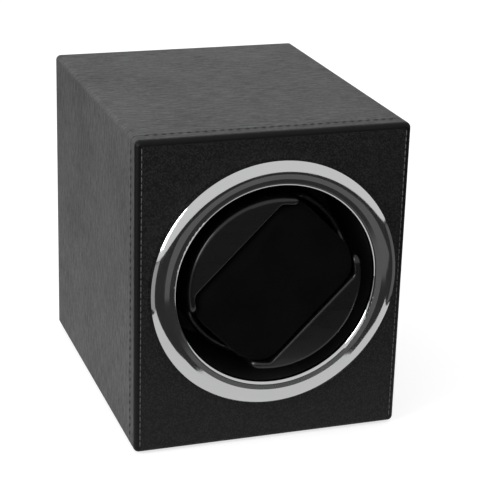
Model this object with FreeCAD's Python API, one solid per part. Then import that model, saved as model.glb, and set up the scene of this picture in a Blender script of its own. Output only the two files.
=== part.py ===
import FreeCAD, Part
import math
import os

# Watch winder box: one turning cup behind a bright bezel in an upright leatherette case.
# Frame: X to the right, Y to the back, Z up, in millimetres. The origin is the centre of the
# underside. The front leather lies at front_face, and the rotor axis runs along Y.

Vec = FreeCAD.Vector

# Case
case_width = 130.0
case_depth = 160.0
case_height = 151.5
felt_thickness = 1.0
felt_inset = 4.0
skin_thickness = 1.0
board_thickness = 6.0
front_board_thickness = 5.0
back_board_thickness = 5.0
long_edge_radius = 2.5
front_edge_radius = 2.2
front_skirt = 2.0
back_recess = 2.0
corner_block_width = 12.0
corner_block_length = 14.0

# Rotor axis, as it stands above the middle of the inside, and bezel, with its heights measured
# forward of the front leather
axis_rise = 4.25
ring_radius = 59.0
ring_height = 7.0
ring_edge_height = 4.5
ring_flat_radius = 53.4
ring_slope_radius = 51.2
ring_slope_drop = 0.4
ring_lip_radius = 49.2
ring_inner_radius = 47.5
ring_inner_height = 4.3
ring_edge_return = 0.9
spigot_radius = 54.4
spigot_wall = 2.0

# Well behind the bezel
well_wall = 2.4
glue_gap = 0.1
well_floor = 2.5
well_flange = 2.5
well_flange_gap = 2.0
well_flange_corner = 8.0
well_screw_inset = 7.0
well_boss_radius = 8.0
well_boss_length = 8.5
post_radius = 4.0
post_length = 24.5
post_spread = 34.0
post_up = 26.0
post_down = 30.0

# Rotor cup, drawn with its strap channel upright and then turned by channel_angle
channel_angle = 45.0
cup_radius = 41.8
cup_wall = 3.4
cup_depth = 49.8
cup_floor = 3.0
rim_height = 5.8
rim_outer_round = 1.7
rim_inner_round = 1.2
shelf_thickness = 2.6
pocket_width = 52.4
pocket_corner_radius = 3.0
pocket_side_wall = 2.4
notch_width = 39.0
notch_depth = 17.0
notch_corner_radius = 4.0
notch_root_radius = 8.0
ledge_height = 6.0
ledge_width = 5.7
ledge_length = 48.0
hub_radius = 9.0
hub_length = 9.0
screw_web = 1.5
screw_head_sink = 0.5

# Watch pillow
pillow_side_gap = 1.2
pillow_wall_gap = 0.9
strap_gap = 4.1
strap_gap_behind = 7.4
pillow_back_width = 45.0
pillow_back_length = 57.0
pillow_shoulder_drop = 3.6
pillow_crown = 1.2
pillow_crown_width = 33.0
pillow_crown_length = 51.0
pillow_edge_draw = 1.6

# Shaft and bearings
shaft_radius = 3.0
running_clearance = 0.05
end_float = 0.2
washer_thickness = 0.8
washer_radius = 7.0
bush_wall = 2.0
rear_bush_length = 5.0
bush_flange_radius = 7.0
bush_flange_thickness = 1.5
shaft_tail = 3.5
clip_thickness = 1.0
clip_groove_depth = 0.5
clip_radius = 5.5
clip_opening_degrees = 80.0

# Gear pair
gear_module = 1.0
gear_teeth = 54
pinion_teeth = 18
gear_thickness = 6.0
gear_hub_radius = 7.0
gear_hub_length = 4.0
gear_web_thickness = 3.0
gear_rim_width = 3.0
pinion_overhang = 0.5
pinion_hub_radius = 5.5
pinion_hub_length = 3.0
tooth_backlash = 0.16
tooth_root_ratio = 1.25
pressure_angle = 20.0

# Drive plate and gearmotor
plate_thickness = 2.0
plate_margin = 7.0
plate_corner = 6.0
damper_radius = 5.5
damper_thickness = 3.0
gearbox_radius = 18.5
gearbox_length = 22.0
gearbox_offset = 7.0
gearbox_boss_radius = 6.0
gearbox_boss_length = 4.0
gearbox_edge_bevel = 1.2
pinion_shaft_seat = 8.0
motor_radius = 14.0
motor_length = 30.0
motor_shoulder = 1.5
motor_cap_radius = 12.5
motor_cap_length = 3.0
motor_screw_circle = 15.5
terminal_spread = 5.0
terminal_width = 2.4
terminal_thickness = 0.6
terminal_length = 4.0

# Rear controls
control_height = 100.0
control_width = 74.0
control_tall = 40.0
control_corner = 4.0
control_thickness = 2.0
control_opening_width = 58.0
control_opening_tall = 24.0
control_screw_inset = 4.0
circuit_width = 56.0
circuit_tall = 23.0
circuit_thickness = 1.6
circuit_standoff = 10.4
circuit_post_radius = 2.5
circuit_post_spread = 25.5
rotary_switch_x = -14.0
rotary_switch_size = 13.0
rotary_neck_radius = 3.6
spindle_radius = 2.0
spindle_seat = 2.0
spindle_length = 12.0
knob_radius = 7.5
knob_length = 9.0
knob_gap = 0.8
knob_edge_round = 1.0
knob_flutes = 16
knob_flute_radius = 0.9
knob_pointer_width = 1.2
knob_pointer_depth = 0.6
slide_switch_x = 3.0
slide_switch_width = 13.0
slide_switch_tall = 7.0
slider_width = 4.0
slider_tall = 3.4
slider_travel = 2.0
slider_clearance = 0.15
slider_root = 4.0
slider_reach = 2.5
jack_x = 17.0
jack_size = 10.0
jack_collar_radius = 4.0
jack_bore_radius = 2.8
jack_bore_depth = 9.0
jack_pin_radius = 1.0
jack_pin_setback = 1.0

# Motor leads and their plug on the circuit board
plug_depth = 6.0
plug_tall = 6.0
plug_width = 14.0
plug_edge_inset = 1.5
lead_radius = 0.7
lead_bow = 4.0

# Screws
screw_radius = 1.5
screw_head_radius = 3.0
screw_head_height = 2.0
screw_head_bevel = 0.6
screw_bite = 8.0
thin_screw_bite = 3.0

# Places worked out from the sizes above
half_width = case_width / 2
front_face = -case_depth / 2
back_rim = case_depth / 2
wrap_bottom = felt_thickness
board_front = front_face + skin_thickness
board_back = board_front + front_board_thickness
seam = board_front + front_skirt
shell_half = half_width - skin_thickness
shell_bottom = wrap_bottom + skin_thickness
shell_top = case_height - skin_thickness
shell_back = back_rim - skin_thickness
inner_half = shell_half - board_thickness
inner_bottom = shell_bottom + board_thickness
inner_top = shell_top - board_thickness
axis_height = (inner_bottom + inner_top) / 2 + axis_rise
inner_edge_radius = long_edge_radius - skin_thickness
back_face = back_rim - back_recess
back_board_back = back_face - skin_thickness
back_board_front = back_board_back - back_board_thickness

ring_seat_height = ring_inner_height - ring_edge_return
well_outer = spigot_radius - spigot_wall
well_inner = well_outer - well_wall
flange_back = board_back + well_flange
flange_half = inner_half - well_flange_gap
well_screw_spread = flange_half - well_screw_inset

cup_back = rim_height - cup_depth
cup_floor_top = cup_back + cup_floor
hub_back = cup_back - hub_length
seat_height = cup_floor_top + ledge_height
notch_bottom = rim_height - notch_depth
screw_head_room = screw_head_height + screw_head_sink
shaft_front = front_face - (cup_floor_top - screw_head_room - screw_web)
hub_end = front_face - hub_back
cup_inner = cup_radius - cup_wall

pillow_width = pocket_width - 2 * pillow_side_gap
pillow_length = 2 * (cup_inner - strap_gap)
pillow_waist_length = 2 * (cup_inner - strap_gap_behind)

well_floor_front = hub_end + washer_thickness + end_float
well_floor_back = well_floor_front + well_floor
well_boss_end = well_floor_back + well_boss_length
bush_radius = shaft_radius + bush_wall
bush_bore = shaft_radius + running_clearance
gear_front = well_boss_end + end_float
gear_face = gear_front + gear_hub_length
gear_back = gear_face + gear_thickness
post_end = well_floor_back + post_length
plate_front = post_end + damper_thickness
plate_back = plate_front + plate_thickness
rear_bush_end = plate_front + rear_bush_length
clip_front = rear_bush_end + end_float
shaft_end = clip_front + clip_thickness + shaft_tail

pinion_axis = axis_height - gear_module * (gear_teeth + pinion_teeth) / 2
gearbox_axis = pinion_axis - gearbox_offset
gearbox_back = plate_back + gearbox_length
gearbox_boss_front = plate_back - gearbox_boss_length
pinion_front = gear_face - pinion_overhang
pinion_back = gear_back + pinion_overhang
pinion_shaft_end = gearbox_boss_front + pinion_shaft_seat
motor_back = gearbox_back + motor_length
motor_cap_back = motor_back + motor_cap_length

control_front = back_face
control_back = control_front + control_thickness
circuit_back = control_front - circuit_standoff
circuit_front = circuit_back - circuit_thickness
plug_front = circuit_front - plug_depth
plug_bottom = control_height - circuit_tall / 2 + plug_edge_inset
lead_depth = plug_front + plug_depth / 2


def block(x0, x1, y0, y1, z0, z1):
    """Plain box between two corners."""
    return Part.makeBox(x1 - x0, y1 - y0, z1 - z0, Vec(x0, y0, z0))


def rod(radius, y0, y1, x=0.0, z=axis_height):
    """Round bar along Y."""
    return Part.makeCylinder(radius, y1 - y0, Vec(x, y0, z), Vec(0, 1, 0))


def rounded_rectangle(half_a, half_b, radius, place):
    """Wire of a rectangle with round corners; place(a, b) puts a point in space."""
    slack = radius * (1 - math.sqrt(0.5))
    corners = (
        ((half_a, half_b - radius), (half_a - slack, half_b - slack), (half_a - radius, half_b)),
        ((radius - half_a, half_b), (slack - half_a, half_b - slack), (-half_a, half_b - radius)),
        ((-half_a, radius - half_b), (slack - half_a, slack - half_b), (radius - half_a, -half_b)),
        ((half_a - radius, -half_b), (half_a - slack, slack - half_b), (half_a, radius - half_b)),
    )
    edges = []
    for number, corner in enumerate(corners):
        start, middle, end = [place(*point) for point in corner]
        following = place(*corners[(number + 1) % 4][0])
        edges.append(Part.Arc(start, middle, end).toShape())
        edges.append(Part.makeLine(end, following))
    return Part.Wire(edges)


def slab(half, z0, z1, radius, y0, y1):
    """Upright slab with round corners in front view, centred on X = 0."""
    middle = (z0 + z1) / 2

    def place(a, b):
        return Vec(a, y0, middle + b)

    wire = rounded_rectangle(half, (z1 - z0) / 2, radius, place)
    return Part.Face(wire).extrude(Vec(0, y1 - y0, 0))


def turned(*steps, x=0.0, z=axis_height):
    """Solid turned about an axis along Y. Two numbers are the radius and depth at the end of a
    straight run, and four are a point on an arc and then its end."""

    def place(radius, depth):
        return Vec(x + radius, depth, z)

    here = place(*steps[0])
    edges = []
    for step in steps[1:] + (steps[0],):
        end = place(*step[-2:])
        if len(step) == 4:
            edges.append(Part.Arc(here, place(*step[:2]), end).toShape())
        else:
            edges.append(Part.makeLine(here, end))
        here = end
    return Part.Face(Part.Wire(edges)).revolve(Vec(x, 0, z), Vec(0, 1, 0), 360)


def tube(outer, inner, y0, y1, x=0.0, z=axis_height):
    """Plain sleeve along Y."""
    return rod(outer, y0, y1, x, z).cut(rod(inner, y0, y1, x, z))


def screw(x, z, seat, bite, way):
    """Pan-head screw on a face at depth seat; way is +1 when its shank runs towards +Y."""
    top = seat - way * screw_head_height
    shoulder = seat - way * (screw_head_height - screw_head_bevel)
    tip = seat + way * bite
    return turned(
        (0, top),
        (screw_head_radius - screw_head_bevel, top),
        (screw_head_radius, shoulder),
        (screw_head_radius, seat),
        (screw_radius, seat),
        (screw_radius, tip),
        (0, tip),
        x=x,
        z=z,
    )


def screws(places, seat, bite, way):
    """Group of like screws, one solid each."""
    return Part.makeCompound([screw(x, z, seat, bite, way) for x, z in places])


def screw_holes(shape, places, y0, y1):
    """Shape with a hole of the screw's own size at each place."""
    for x, z in places:
        shape = shape.cut(rod(screw_radius, y0, y1, x, z))
    return shape


def spur_gear(teeth, y0, y1, z, first_tooth):
    """Toothed disc: each flank follows the involute at its root, pitch and tip circles."""
    pitch = gear_module * teeth / 2
    base = pitch * math.cos(math.radians(pressure_angle))
    root = pitch - tooth_root_ratio * gear_module
    tip = pitch + gear_module

    def involute(radius):
        slope = math.acos(min(1.0, base / radius))
        return math.tan(slope) - slope

    half_at_pitch = math.pi / (2 * teeth) - tooth_backlash / (4 * pitch)
    flank = []
    for radius in (root, pitch, tip):
        flank.append((radius, half_at_pitch + involute(pitch) - involute(max(radius, base))))
    points = []
    for tooth in range(teeth):
        middle = first_tooth + 2 * math.pi * tooth / teeth
        for radius, half in flank:
            points.append((radius, middle - half))
        for radius, half in reversed(flank):
            points.append((radius, middle + half))
    corners = [Vec(r * math.cos(a), y0, z + r * math.sin(a)) for r, a in points]
    wire = Part.makePolygon(corners + corners[:1])
    return Part.Face(wire).extrude(Vec(0, y1 - y0, 0))


def on_rotor(shape):
    """Put a shape drawn about Z, its channel along Y and its front towards +Z, on the rotor axis."""
    turn = math.radians(channel_angle)
    side, rise = math.cos(turn), math.sin(turn)
    across = Vec(rise, 0, -side)
    along = Vec(side, 0, rise)
    ahead = Vec(0, -1, 0)
    matrix = FreeCAD.Matrix(
        across.x, along.x, ahead.x, 0.0,
        across.y, along.y, ahead.y, front_face,
        across.z, along.z, ahead.z, axis_height,
        0.0, 0.0, 0.0, 1.0,
    )
    placed = shape.copy()
    placed.Placement = FreeCAD.Placement(matrix)
    return placed


# Places that several pieces share
well_screw_places = [
    (sx * well_screw_spread, axis_height + sz * well_screw_spread) for sx in (-1, 1) for sz in (-1, 1)
]
post_places = [
    (sx * post_spread, axis_height + rise) for sx in (-1, 1) for rise in (post_up, -post_down)
]
motor_screw_places = [
    (motor_screw_circle * math.cos(a), gearbox_axis + motor_screw_circle * math.sin(a))
    for a in (math.radians(210), math.radians(270), math.radians(330))
]
block_middle = corner_block_width / 2
back_screw_places = [
    (sx * (inner_half - block_middle), z)
    for sx in (-1, 1)
    for z in (inner_bottom + block_middle, inner_top - block_middle)
]
control_screw_places = [
    (
        sx * (control_width / 2 - control_screw_inset),
        control_height + sz * (control_tall / 2 - control_screw_inset),
    )
    for sx in (-1, 1)
    for sz in (-1, 1)
]
circuit_post_places = [(sx * circuit_post_spread, control_height) for sx in (-1, 1)]


def carcass():
    """Four boards glued into a sleeve, with glue blocks in the rear corners."""
    sleeve = slab(shell_half, shell_bottom, shell_top, inner_edge_radius, board_back, shell_back)
    bottom_part = block(-half_width, half_width, board_back, shell_back, 0, inner_bottom)
    top_part = block(-half_width, half_width, board_back, shell_back, inner_top, case_height)
    left_part = block(-half_width, -inner_half, board_back, shell_back, inner_bottom, inner_top)
    right_part = block(inner_half, half_width, board_back, shell_back, inner_bottom, inner_top)
    blocks = []
    for x, z in back_screw_places:
        blocks.append(
            block(
                x - block_middle,
                x + block_middle,
                back_board_front - corner_block_length,
                back_board_front,
                z - block_middle,
                z + block_middle,
            ).cut(rod(screw_radius, back_board_front - screw_bite, back_board_front, x, z))
        )
    return {
        "panel_bottom": sleeve.common(bottom_part),
        "panel_top": sleeve.common(top_part),
        "panel_left": sleeve.common(left_part),
        "panel_right": sleeve.common(right_part),
        "corner_blocks": Part.makeCompound(blocks),
    }


def edges_at(shape, depth):
    """Edges that lie wholly in the upright plane at this depth."""
    near = 1e-4
    chosen = []
    for edge in shape.Edges:
        box = edge.BoundBox
        if abs(box.YMin - depth) < near and abs(box.YMax - depth) < near:
            chosen.append(edge)
    return chosen


def front_board():
    """Board with rounded front edges and the round opening for the bezel's spigot."""
    board = slab(shell_half, shell_bottom, shell_top, inner_edge_radius, board_front, board_back)
    board = board.makeFillet(front_edge_radius - skin_thickness, edges_at(board, board_front))
    board = board.cut(rod(spigot_radius, board_front, board_back))
    return screw_holes(board, well_screw_places, board_back - thin_screw_bite, board_back)


def front_cover():
    """Leather stretched over the front board and turned back over its edges as far as the seam."""
    cover = slab(half_width, wrap_bottom, case_height, long_edge_radius, front_face, seam)
    cover = cover.makeFillet(front_edge_radius, edges_at(cover, front_face))
    core = slab(shell_half, shell_bottom, shell_top, inner_edge_radius, board_front, seam)
    core = core.makeFillet(front_edge_radius - skin_thickness, edges_at(core, board_front))
    return cover.cut(core).cut(rod(spigot_radius, front_face, board_front))


def body_wrap():
    """Leather sleeve over the four boards, turned in over their rear edges."""
    wrap = slab(half_width, wrap_bottom, case_height, long_edge_radius, seam, back_rim)
    wrap = wrap.makeFillet(skin_thickness, edges_at(wrap, back_rim))
    core = slab(shell_half, shell_bottom, shell_top, inner_edge_radius, seam, shell_back)
    mouth = block(-inner_half, inner_half, seam, back_rim, inner_bottom, inner_top)
    return wrap.cut(core).cut(mouth)


def back_panel():
    """Back board, its leather and the four screws that hold it to the glue blocks."""
    opening = slab(
        control_opening_width / 2,
        control_height - control_opening_tall / 2,
        control_height + control_opening_tall / 2,
        control_corner / 2,
        back_board_front,
        back_face,
    )
    board = block(-inner_half, inner_half, back_board_front, back_board_back, inner_bottom, inner_top)
    leather = block(-inner_half, inner_half, back_board_back, back_face, inner_bottom, inner_top)
    board = board.cut(opening)
    leather = leather.cut(opening)
    board = screw_holes(board, back_screw_places + control_screw_places, back_board_front, back_board_back)
    leather = screw_holes(leather, back_screw_places + control_screw_places, back_board_back, back_face)
    bite = screw_bite + back_face - back_board_front
    return {
        "back_board": board,
        "back_cover": leather,
        "back_screws": screws(back_screw_places, back_face, bite, -1),
    }


def base_felt():
    """Felt sheet glued under the case."""
    half_x = half_width - felt_inset
    half_y = case_depth / 2 - felt_inset

    def place(a, b):
        return Vec(a, b, 0)

    wire = rounded_rectangle(half_x, half_y, long_edge_radius, place)
    return Part.Face(wire).extrude(Vec(0, 0, felt_thickness))


def bezel_ring():
    """Plated ring: a domed band, a flat, a slope and a rounded lip, with a spigot in the board."""

    def ahead(height):
        return front_face - height

    run = ring_radius - ring_flat_radius
    fall = ring_height - ring_edge_height
    band_radius = (run ** 2 + fall ** 2) / (2 * fall)
    half_turn = math.asin(run / band_radius) / 2
    lip_round = ring_lip_radius - ring_inner_radius
    lip_mid = lip_round * math.sqrt(0.5)
    lip_height = ring_height - ring_slope_drop
    return turned(
        (ring_radius, ahead(0)),
        (ring_radius, ahead(ring_edge_height)),
        (
            ring_flat_radius + band_radius * math.sin(half_turn),
            ahead(ring_height - band_radius * (1 - math.cos(half_turn))),
            ring_flat_radius,
            ahead(ring_height),
        ),
        (ring_slope_radius, ahead(ring_height)),
        (ring_lip_radius, ahead(lip_height)),
        (
            ring_lip_radius - lip_mid,
            ahead(lip_height - lip_round + lip_mid),
            ring_inner_radius,
            ahead(lip_height - lip_round),
        ),
        (ring_inner_radius, ahead(ring_inner_height)),
        (ring_inner_radius + ring_edge_return / 2, ahead(ring_seat_height)),
        (well_outer, ahead(ring_seat_height)),
        (well_outer, board_back),
        (spigot_radius, board_back),
        (spigot_radius, ahead(0)),
    )


def well():
    """Sleeve round the cup, glued into a square flange and closed by a plate with boss and posts."""
    sleeve = tube(well_outer, well_inner, front_face - ring_seat_height, well_floor_front)
    low = axis_height - flange_half
    high = axis_height + flange_half
    flange = slab(flange_half, low, high, well_flange_corner, board_back, flange_back)
    flange = flange.cut(rod(well_outer + glue_gap, board_back, flange_back))
    plate = turned(
        (well_outer, well_floor_front),
        (well_outer, well_floor_back),
        (well_boss_radius, well_floor_back),
        (well_boss_radius, well_boss_end),
        (bush_radius, well_boss_end),
        (bush_radius, well_floor_front),
    )
    for x, z in post_places:
        plate = plate.fuse(rod(post_radius, well_floor_back, post_end, x, z))
    plate = plate.removeSplitter()
    return {
        "rotor_well": sleeve,
        "well_flange": screw_holes(flange, well_screw_places, board_back, flange_back),
        "bearing_plate": screw_holes(plate, post_places, post_end - screw_bite, post_end),
    }


def notch_cutter():
    """Prism along the channel that opens the wall at both ends, with round shoulders and roots."""
    half = notch_width / 2
    wide = half + notch_corner_radius
    over = rim_height + notch_corner_radius
    turn_in = notch_corner_radius * (1 - math.sqrt(0.5))
    root_in = notch_root_radius * (1 - math.sqrt(0.5))
    reach = cup_radius + cup_wall

    def place(across, height):
        return Vec(across, -reach, height)

    def side(sign):
        top = place(sign * wide, over)
        rim = place(sign * wide, rim_height)
        shoulder = place(sign * (half + turn_in), rim_height - turn_in)
        upper = place(sign * half, rim_height - notch_corner_radius)
        lower = place(sign * half, notch_bottom + notch_root_radius)
        root = place(sign * (half - root_in), notch_bottom + root_in)
        end = place(sign * (half - notch_root_radius), notch_bottom)
        return [
            Part.makeLine(top, rim),
            Part.Arc(rim, shoulder, upper).toShape(),
            Part.makeLine(upper, lower),
            Part.Arc(lower, root, end).toShape(),
        ]

    base_half = half - notch_root_radius
    edges = side(1) + side(-1)
    edges.append(Part.makeLine(place(base_half, notch_bottom), place(-base_half, notch_bottom)))
    edges.append(Part.makeLine(place(wide, over), place(-wide, over)))
    wire = Part.Wire(Part.__sortEdges__(edges))
    return Part.Face(wire).extrude(Vec(0, 2 * reach, 0))


def reach_of(vertex):
    """Distance of a vertex from the cup's own axis."""
    return math.hypot(vertex.X, vertex.Y)


def rim_edges(cup, outside):
    """The smooth loops round the cup's rim and notches, on the outside or the inside of the wall."""
    near = 1e-3
    chosen = []
    for edge in cup.Edges:
        if edge.BoundBox.ZMin < notch_bottom - near:
            continue
        reaches = [reach_of(vertex) for vertex in edge.Vertexes]
        if outside and min(reaches) > cup_radius - near:
            chosen.append(edge)
        if not outside and max(reaches) < cup_inner + near:
            chosen.append(edge)
    return chosen


def rotor_cup():
    """Moulded cup: a round wall, two D-shaped shelves beside the pillow's pocket, a notch at each
    end of the channel, ledges for the pillow and a hub for the shaft. It is cored from behind."""
    half_pocket = pocket_width / 2
    cup = Part.makeCylinder(cup_radius, cup_depth, Vec(0, 0, cup_back))
    pocket_depth = rim_height - cup_floor_top
    pocket = Part.makeCylinder(cup_inner, pocket_depth, Vec(0, 0, cup_floor_top))
    pocket = pocket.common(
        Part.makeBox(pocket_width, 2 * cup_inner, pocket_depth, Vec(-half_pocket, -cup_inner, cup_floor_top))
    )
    uprights = [
        e for e in pocket.Edges if e.BoundBox.ZLength > pocket_depth / 2 and abs(e.Vertexes[0].Y) > cup_wall
    ]
    pocket = pocket.makeFillet(pocket_corner_radius, uprights)
    cup = cup.cut(pocket).cut(notch_cutter())
    cup = cup.makeFillet(rim_outer_round, rim_edges(cup, True))
    cup = cup.makeFillet(rim_inner_round, rim_edges(cup, False))

    core_depth = cup_depth - shelf_thickness
    core_start = half_pocket + pocket_side_wall
    core = Part.makeCylinder(cup_inner, core_depth, Vec(0, 0, cup_back))
    middle = Part.makeBox(2 * core_start, 2 * cup_radius, core_depth, Vec(-core_start, -cup_radius, cup_back))
    cup = cup.cut(core.cut(middle))

    for sign in (-1, 1):
        start = half_pocket - ledge_width if sign > 0 else -half_pocket
        corner = Vec(start, -ledge_length / 2, cup_floor_top)
        cup = cup.fuse(Part.makeBox(ledge_width, ledge_length, ledge_height, corner))
    cup = cup.fuse(Part.makeCylinder(hub_radius, hub_length, Vec(0, 0, hub_back)))
    head_floor = cup_floor_top - screw_head_room
    shaft_top = head_floor - screw_web
    cup = cup.cut(Part.makeCylinder(screw_head_radius, screw_head_room, Vec(0, 0, head_floor)))
    cup = cup.cut(Part.makeCylinder(screw_radius, screw_web, Vec(0, 0, shaft_top)))
    cup = cup.cut(Part.makeCylinder(shaft_radius, shaft_top - hub_back, Vec(0, 0, hub_back)))
    return on_rotor(cup.removeSplitter())


def watch_pillow():
    """Stuffed cushion: it swells from its back to a shoulder near the rim, then draws in to a crown.
    Its corners are as round as the cup's wall asks."""
    half_x, half_y = pillow_width / 2, pillow_length / 2
    room = cup_inner - pillow_wall_gap
    spare = half_x + half_y - room
    corner = spare - math.sqrt(spare ** 2 - (half_x ** 2 + half_y ** 2 - room ** 2))
    shoulder = rim_height - pillow_shoulder_drop
    top = rim_height + pillow_crown
    middle = (seat_height + notch_bottom) / 2
    sections = (
        (seat_height, pillow_back_width, pillow_back_length),
        (middle, pillow_width - pillow_edge_draw, pillow_waist_length - pillow_edge_draw),
        (notch_bottom, pillow_width, pillow_waist_length),
        (shoulder - pillow_shoulder_drop, pillow_width, pillow_length),
        (shoulder, pillow_width - pillow_edge_draw, pillow_length - pillow_edge_draw),
        (
            rim_height,
            (pillow_width + pillow_crown_width) / 2,
            (pillow_length + pillow_crown_length) / 2,
        ),
        (top, pillow_crown_width, pillow_crown_length),
    )
    wires = []
    for height, width, length in sections:

        def place(a, b, level=height):
            return Vec(a, b, level)

        wires.append(rounded_rectangle(width / 2, length / 2, corner, place))
    return on_rotor(Part.makeLoft(wires, True, False))


def rotor_drive():
    """Shaft, cup screw, thrust washer, gear and retaining clip that turn with the cup."""
    groove = shaft_radius - clip_groove_depth
    clip_back = clip_front + clip_thickness
    shaft = turned(
        (0, shaft_front),
        (shaft_radius, shaft_front),
        (shaft_radius, clip_front),
        (groove, clip_front),
        (groove, clip_back),
        (shaft_radius, clip_back),
        (shaft_radius, shaft_end),
        (0, shaft_end),
    )
    head_seat = shaft_front - screw_web
    shaft = shaft.cut(rod(screw_radius, shaft_front, head_seat + screw_bite))
    gear = spur_gear(gear_teeth, gear_face, gear_back, axis_height, -math.pi / 2)
    gear = gear.fuse(rod(gear_hub_radius, gear_front, gear_face))
    root = gear_module * (gear_teeth / 2 - tooth_root_ratio)
    web_outer = root - gear_rim_width
    recess = (gear_thickness - gear_web_thickness) / 2
    for y0 in (gear_face, gear_back - recess):
        gear = gear.cut(tube(web_outer, gear_hub_radius, y0, y0 + recess))
    gear = gear.removeSplitter().cut(rod(shaft_radius, gear_front, gear_back))
    clip = tube(clip_radius, groove, clip_front, clip_back)
    spread = clip_radius / math.cos(math.radians(clip_opening_degrees / 2))
    half_gap = math.radians(clip_opening_degrees / 2)
    gap_points = [Vec(0, clip_front, axis_height)]
    for turn in (-half_gap, half_gap):
        gap_points.append(
            Vec(2 * spread * math.sin(turn), clip_front, axis_height + 2 * spread * math.cos(turn))
        )
    gap = Part.Face(Part.makePolygon(gap_points + gap_points[:1])).extrude(Vec(0, clip_thickness, 0))
    return {
        "rotor_shaft": shaft,
        "rotor_screw": screw(0, axis_height, head_seat, screw_bite, 1),
        "thrust_washer": tube(washer_radius, shaft_radius, hub_end, hub_end + washer_thickness),
        "rotor_gear": gear,
        "shaft_clip": clip.cut(gap),
    }


def bearings():
    """Two bronze bushes: a plain one in the well's boss and a flanged one in the drive plate."""
    flange_front = plate_front - bush_flange_thickness
    rear = tube(bush_radius, bush_bore, flange_front, rear_bush_end)
    rear = rear.fuse(tube(bush_flange_radius, bush_bore, flange_front, plate_front)).removeSplitter()
    return {
        "front_bush": tube(bush_radius, bush_bore, well_floor_front, well_boss_end),
        "rear_bush": rear,
    }


def drive_plate():
    """Steel plate on rubber dampers, with the screws that hold it to the well's posts."""
    half = post_spread + plate_margin
    low = gearbox_axis - gearbox_radius
    high = axis_height + post_up + plate_margin
    plate = slab(half, low, high, plate_corner, plate_front, plate_back)
    plate = plate.cut(rod(bush_radius, plate_front, plate_back))
    plate = plate.cut(rod(gearbox_boss_radius, plate_front, plate_back, 0, pinion_axis))
    plate = screw_holes(plate, post_places + motor_screw_places, plate_front, plate_back)
    dampers = [tube(damper_radius, screw_radius, post_end, plate_front, x, z) for x, z in post_places]
    bite = plate_back - post_end + screw_bite
    return {
        "drive_plate": plate,
        "damper_grommets": Part.makeCompound(dampers),
        "plate_screws": screws(post_places, plate_back, bite, -1),
    }


def gearmotor():
    """Gearbox with an offset output, motor can, end cap, terminals, screws, shaft and pinion."""
    housing = rod(gearbox_radius, plate_back, gearbox_back, 0, gearbox_axis)
    housing = housing.makeChamfer(gearbox_edge_bevel, edges_at(housing, gearbox_back))
    housing = housing.fuse(rod(gearbox_boss_radius, gearbox_boss_front, plate_back, 0, pinion_axis))
    seat_end = pinion_shaft_end + end_float
    seat_radius = shaft_radius + running_clearance
    housing = housing.cut(rod(seat_radius, gearbox_boss_front, seat_end, 0, pinion_axis))
    bite = plate_thickness + thin_screw_bite
    housing = screw_holes(housing, motor_screw_places, plate_back, plate_back + thin_screw_bite)
    neck = motor_radius - motor_shoulder
    can = turned(
        (0, gearbox_back),
        (neck, gearbox_back),
        (neck, gearbox_back + motor_shoulder),
        (motor_radius, gearbox_back + 2 * motor_shoulder),
        (motor_radius, motor_back - motor_shoulder),
        (neck, motor_back),
        (0, motor_back),
        z=gearbox_axis,
    )
    tabs = []
    for sign in (-1, 1):
        x = sign * terminal_spread
        tabs.append(
            block(
                x - terminal_thickness / 2,
                x + terminal_thickness / 2,
                motor_cap_back,
                motor_cap_back + terminal_length,
                gearbox_axis - terminal_width / 2,
                gearbox_axis + terminal_width / 2,
            )
        )
    pinion_tooth = math.pi / 2 + math.pi / pinion_teeth
    pinion = spur_gear(pinion_teeth, pinion_front, pinion_back, pinion_axis, pinion_tooth)
    hub_back_end = pinion_back + pinion_hub_length
    pinion = pinion.fuse(rod(pinion_hub_radius, pinion_back, hub_back_end, 0, pinion_axis))
    pinion = pinion.removeSplitter().cut(rod(shaft_radius, pinion_front, hub_back_end, 0, pinion_axis))
    return {
        "gearbox_housing": housing,
        "motor_can": can,
        "motor_cap": rod(motor_cap_radius, motor_back, motor_cap_back, 0, gearbox_axis),
        "motor_terminals": Part.makeCompound(tabs),
        "motor_screws": screws(motor_screw_places, plate_front, bite, 1),
        "pinion_shaft": rod(shaft_radius, pinion_front, pinion_shaft_end, 0, pinion_axis),
        "pinion": pinion,
    }


def slider_room(extra, y0, y1):
    """Space swept by the direction slider, widened by a clearance on every side."""
    half = slider_width / 2 + extra
    return block(
        slide_switch_x - half - slider_travel,
        slide_switch_x + half + slider_travel,
        y0,
        y1,
        control_height - slider_tall / 2 - extra,
        control_height + slider_tall / 2 + extra,
    )


def control_panel():
    """Rear plate with its screws, the circuit board on two posts, and the board's screws."""
    low = control_height - control_tall / 2
    high = control_height + control_tall / 2
    plate = slab(control_width / 2, low, high, control_corner, control_front, control_back)
    for x, z in circuit_post_places:
        plate = plate.fuse(rod(circuit_post_radius, circuit_back, control_front, x, z))
    plate = plate.removeSplitter()
    plate = screw_holes(plate, control_screw_places, control_front, control_back)
    plate = screw_holes(plate, circuit_post_places, circuit_back, circuit_back + screw_bite)
    plate = plate.cut(rod(rotary_neck_radius, control_front, control_back, rotary_switch_x, control_height))
    plate = plate.cut(rod(jack_collar_radius, control_front, control_back, jack_x, control_height))
    plate = plate.cut(slider_room(slider_clearance, control_front, control_back))
    circuit_low = control_height - circuit_tall / 2
    circuit = block(
        -circuit_width / 2,
        circuit_width / 2,
        circuit_front,
        circuit_back,
        circuit_low,
        circuit_low + circuit_tall,
    )
    circuit = screw_holes(circuit, circuit_post_places, circuit_front, circuit_back)
    outer_bite = control_thickness + back_face - back_board_front
    inner_bite = circuit_thickness + screw_bite
    return {
        "control_plate": plate,
        "control_screws": screws(control_screw_places, control_back, outer_bite, -1),
        "circuit_board": circuit,
        "board_screws": screws(circuit_post_places, circuit_front, inner_bite, 1),
    }


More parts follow.
